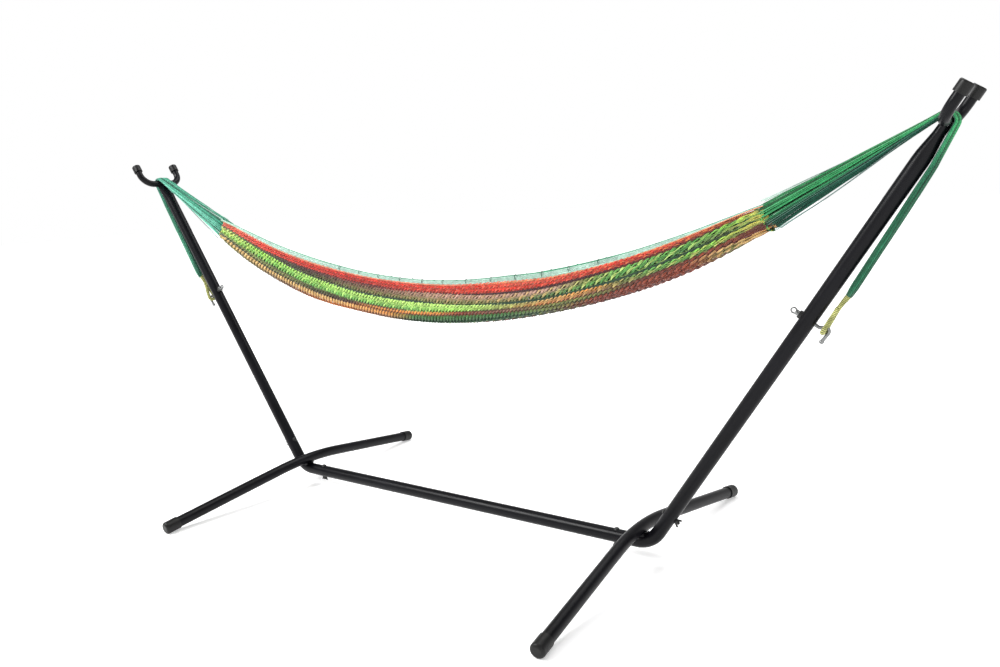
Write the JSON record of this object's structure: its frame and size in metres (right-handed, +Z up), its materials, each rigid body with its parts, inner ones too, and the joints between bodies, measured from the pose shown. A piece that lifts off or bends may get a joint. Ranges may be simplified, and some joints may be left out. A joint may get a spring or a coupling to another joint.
{
  "type": "string hammock with stand",
  "caption": "Multicoloured woven string hammock hung gathered between the forked posts of a free-standing black steel tube stand.",
  "frame": {"origin": "middle of the bounding box at the ground", "axes": "+X along the base bar and the hammock's length, +Y across the feet, +Z up"},
  "size_m": [3.0818, 1.2242, 1.261],
  "materials": {
    "black_tube": "satin black powder coat",
    "black_hardware": "black wing nuts and bolt heads",
    "cap_rubber": "smooth black",
    "spacer_plastic": "moulded black",
    "zinc_steel": "zinc plated",
    "woven_strings": "bands of dyed string: red, brown, lime, orange and green",
    "edge_net": "pale teal string",
    "end_strings": "green dyed string",
    "wrap_twine": "pale yellow-green twine"
  },
  "bodies": {
    "stand": {"base_bar": "black_tube", "elbow_right": "black_tube", "elbow_left": "black_tube", "post_right": "black_tube", "post_left": "black_tube", "foot_right": "black_tube", "foot_left": "black_tube", "foot_cap_near_right": "cap_rubber", "foot_cap_near_left": "cap_rubber", "foot_cap_far_right": "cap_rubber", "foot_cap_far_left": "cap_rubber", "fork_right": "black_tube", "fork_left": "black_tube", "fork_cap_near_right": "cap_rubber", "fork_cap_near_left": "cap_rubber", "fork_cap_far_right": "cap_rubber", "fork_cap_far_left": "cap_rubber", "bar_bolt_right": "black_hardware", "bar_bolt_left": "black_hardware", "post_bolt_right": "black_hardware", "post_bolt_left": "black_hardware", "hook_right": "zinc_steel", "hook_left": "zinc_steel", "hook_spacer_right": "spacer_plastic", "hook_spacer_left": "spacer_plastic", "hook_washer_right": "zinc_steel", "hook_washer_left": "zinc_steel", "loop_right": "wrap_twine", "loop_left": "wrap_twine", "tail_right": "end_strings", "tail_left": "end_strings"},
    "hammock": {"bed": "woven_strings", "edge_band_near": "edge_net", "edge_band_far": "edge_net", "clew_right": "end_strings", "clew_left": "end_strings"},
    "bar_wing_nut_right": {"bar_wing_nut_right": "black_hardware"},
    "post_wing_nut_right": {"post_wing_nut_right": "black_hardware"},
    "hook_ring_nut_right": {"hook_ring_nut_right": "zinc_steel"},
    "bar_wing_nut_left": {"bar_wing_nut_left": "black_hardware"},
    "post_wing_nut_left": {"post_wing_nut_left": "black_hardware"},
    "hook_ring_nut_left": {"hook_ring_nut_left": "zinc_steel"}
  },
  "joints": [
    {"name": "hammock_swing", "type": "hinge", "parent": "stand", "child": "hammock", "pos_m": [0, 0, 1.17899], "axis": [1, 0, 0], "range_deg": [-40, 40]},
    {"name": "bar_wing_nut_turn_right", "type": "hinge", "parent": "stand", "child": "bar_wing_nut_right", "pos_m": [0.633, 0, 0.056], "axis": [0, 0, -1], "continuous": true},
    {"name": "post_wing_nut_turn_right", "type": "hinge", "parent": "stand", "child": "post_wing_nut_right", "pos_m": [0.80633, 0, 0.14972], "axis": [0.8368, 0, -0.5476], "continuous": true},
    {"name": "hook_ring_nut_turn_right", "type": "hinge", "parent": "stand", "child": "hook_ring_nut_right", "pos_m": [1.18579, 0, 0.7296], "axis": [-0.8368, 0, 0.5476], "continuous": true},
    {"name": "bar_wing_nut_turn_left", "type": "hinge", "parent": "stand", "child": "bar_wing_nut_left", "pos_m": [-0.633, 0, 0.056], "axis": [0, 0, -1], "continuous": true},
    {"name": "post_wing_nut_turn_left", "type": "hinge", "parent": "stand", "child": "post_wing_nut_left", "pos_m": [-0.80633, 0, 0.14972], "axis": [-0.8368, 0, -0.5476], "continuous": true},
    {"name": "hook_ring_nut_turn_left", "type": "hinge", "parent": "stand", "child": "hook_ring_nut_left", "pos_m": [-1.18579, 0, 0.7296], "axis": [0.8368, 0, 0.5476], "continuous": true}
  ]
}
